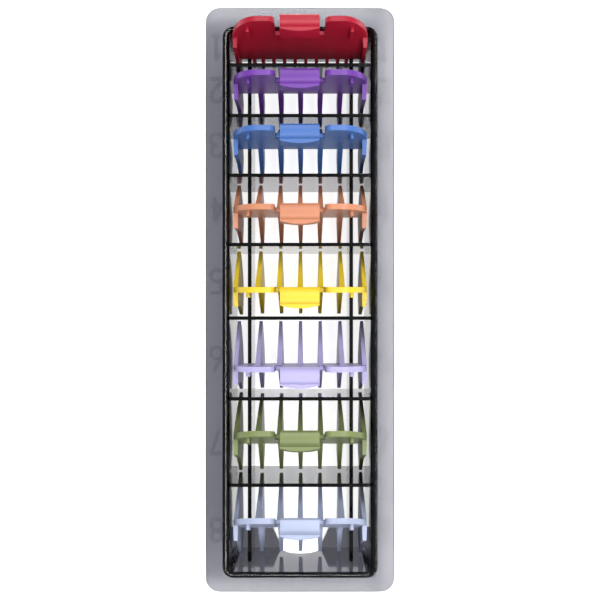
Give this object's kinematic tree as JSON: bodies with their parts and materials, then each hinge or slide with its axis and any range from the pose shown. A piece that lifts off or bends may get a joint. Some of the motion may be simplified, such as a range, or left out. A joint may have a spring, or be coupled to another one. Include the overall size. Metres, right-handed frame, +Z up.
{
  "type": "clipper guard comb set",
  "caption": "Tray of graduated hair clipper guard combs standing heel up in numbered bays, each comb with a springy latch.",
  "frame": {"origin": "centre of the tray's footprint, on the surface it stands on", "axes": "+Z up out of the open top, +Y along the tray towards comb 1, the shortest, +X across it"},
  "size_m": [0.0694, 0.2146, 0.053],
  "materials": {
    "tray_smoke": "gloss",
    "comb_red": "satin",
    "comb_purple": "satin",
    "comb_blue": "satin",
    "comb_peach": "satin",
    "comb_yellow": "satin",
    "comb_lilac": "satin",
    "comb_green": "satin",
    "comb_ice_blue": "satin"
  },
  "bodies": {
    "tray": {"wall_upper": "tray_smoke", "wall_lower": "tray_smoke", "wall_left": "tray_smoke", "wall_right": "tray_smoke", "flange_upper": "tray_smoke", "flange_lower": "tray_smoke", "flange_left": "tray_smoke", "flange_right": "tray_smoke", "well_corners": "tray_smoke", "floor_strip": "tray_smoke", "rail_left": "tray_smoke", "rail_right": "tray_smoke", "divider_1_2": "tray_smoke", "divider_2_3": "tray_smoke", "divider_3_4": "tray_smoke", "divider_4_5": "tray_smoke", "divider_5_6": "tray_smoke", "divider_6_7": "tray_smoke", "divider_7_8": "tray_smoke"},
    "guard_1": {"guard_1_body": "comb_red"},
    "guard_1_latch": {"guard_1_latch": "comb_red"},
    "guard_2": {"guard_2_body": "comb_purple"},
    "guard_2_latch": {"guard_2_latch": "comb_purple"},
    "guard_3": {"guard_3_body": "comb_blue"},
    "guard_3_latch": {"guard_3_latch": "comb_blue"},
    "guard_4": {"guard_4_body": "comb_peach"},
    "guard_4_latch": {"guard_4_latch": "comb_peach"},
    "guard_5": {"guard_5_body": "comb_yellow"},
    "guard_5_latch": {"guard_5_latch": "comb_yellow"},
    "guard_6": {"guard_6_body": "comb_lilac"},
    "guard_6_latch": {"guard_6_latch": "comb_lilac"},
    "guard_7": {"guard_7_body": "comb_green"},
    "guard_7_latch": {"guard_7_latch": "comb_green"},
    "guard_8": {"guard_8_body": "comb_ice_blue"},
    "guard_8_latch": {"guard_8_latch": "comb_ice_blue"}
  },
  "joints": [
    {"name": "guard_1_lift", "type": "slide", "parent": "tray", "child": "guard_1", "axis": [0, 0, 1], "range_m": [0, 0.045]},
    {"name": "guard_1_latch_flex", "type": "hinge", "parent": "guard_1", "child": "guard_1_latch", "pos_m": [0, 0.09687, 0.03944], "axis": [-1, 0, 0], "range_deg": [0, 8], "stiffness_Nm_per_rad": 0.2},
    {"name": "guard_2_lift", "type": "slide", "parent": "tray", "child": "guard_2", "axis": [0, 0, 1], "range_m": [0, 0.045]},
    {"name": "guard_2_latch_flex", "type": "hinge", "parent": "guard_2", "child": "guard_2_latch", "pos_m": [0, 0.08055, 0.03655], "axis": [-1, 0, 0], "range_deg": [0, 8], "stiffness_Nm_per_rad": 0.2},
    {"name": "guard_3_lift", "type": "slide", "parent": "tray", "child": "guard_3", "axis": [0, 0, 1], "range_m": [0, 0.045]},
    {"name": "guard_3_latch_flex", "type": "hinge", "parent": "guard_3", "child": "guard_3_latch", "pos_m": [0, 0.06023, 0.03658], "axis": [-1, 0, 0], "range_deg": [0, 8], "stiffness_Nm_per_rad": 0.2},
    {"name": "guard_4_lift", "type": "slide", "parent": "tray", "child": "guard_4", "axis": [0, 0, 1], "range_m": [0, 0.045]},
    {"name": "guard_4_latch_flex", "type": "hinge", "parent": "guard_4", "child": "guard_4_latch", "pos_m": [0, 0.0329, 0.03655], "axis": [-1, 0, 0], "range_deg": [0, 8], "stiffness_Nm_per_rad": 0.2},
    {"name": "guard_5_lift", "type": "slide", "parent": "tray", "child": "guard_5", "axis": [0, 0, 1], "range_m": [0, 0.045]},
    {"name": "guard_5_latch_flex", "type": "hinge", "parent": "guard_5", "child": "guard_5_latch", "pos_m": [0, 0.0037, 0.03658], "axis": [-1, 0, 0], "range_deg": [0, 8], "stiffness_Nm_per_rad": 0.2},
    {"name": "guard_6_lift", "type": "slide", "parent": "tray", "child": "guard_6", "axis": [0, 0, 1], "range_m": [0, 0.045]},
    {"name": "guard_6_latch_flex", "type": "hinge", "parent": "guard_6", "child": "guard_6_latch", "pos_m": [0, -0.025, 0.03655], "axis": [-1, 0, 0], "range_deg": [0, 8], "stiffness_Nm_per_rad": 0.2},
    {"name": "guard_7_lift", "type": "slide", "parent": "tray", "child": "guard_7", "axis": [0, 0, 1], "range_m": [0, 0.045]},
    {"name": "guard_7_latch_flex", "type": "hinge", "parent": "guard_7", "child": "guard_7_latch", "pos_m": [0, -0.05016, 0.03633], "axis": [-1, 0, 0], "range_deg": [0, 8], "stiffness_Nm_per_rad": 0.2},
    {"name": "guard_8_lift", "type": "slide", "parent": "tray", "child": "guard_8", "axis": [0, 0, 1], "range_m": [0, 0.045]},
    {"name": "guard_8_latch_flex", "type": "hinge", "parent": "guard_8", "child": "guard_8_latch", "pos_m": [0, -0.08162, 0.03619], "axis": [-1, 0, 0], "range_deg": [0, 8], "stiffness_Nm_per_rad": 0.2}
  ]
}
